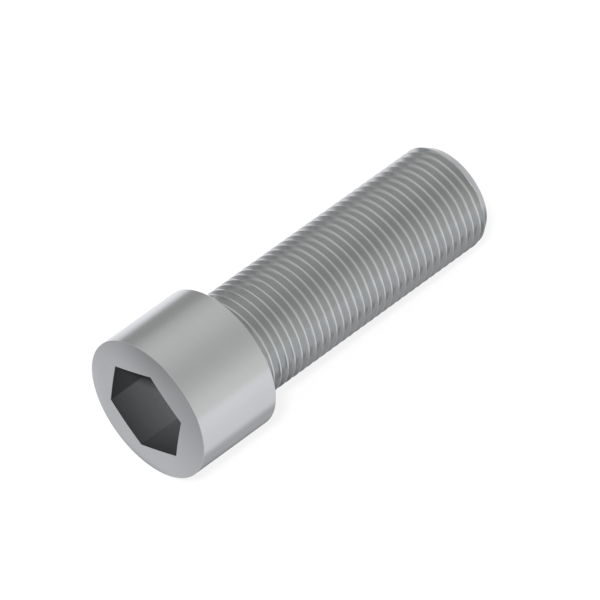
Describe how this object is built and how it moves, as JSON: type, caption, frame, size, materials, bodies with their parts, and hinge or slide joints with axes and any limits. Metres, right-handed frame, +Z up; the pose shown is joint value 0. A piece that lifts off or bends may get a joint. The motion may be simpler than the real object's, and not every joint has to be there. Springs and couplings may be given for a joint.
{
  "type": "cheese head screw",
  "caption": "Steel machine screw with a plain cylindrical cheese head, a hexagon socket in its crowned end and a fine right-hand thread over the whole shank.",
  "frame": {"origin": "middle of the bearing face under the head, on the screw's axis", "axes": "+X runs along the axis from the bearing face out through the point, so the head is on the side of -X; +Z is up from the surface that the screw lies on"},
  "size_m": [0.066, 0.024, 0.024],
  "materials": {
    "steel": "plain satin steel, turned, with no coating: a soft sheen with fine turning marks round the axis, and a duller, darker socket"
  },
  "bodies": {
    "root": {"screw": "steel"}
  },
  "joints": []
}
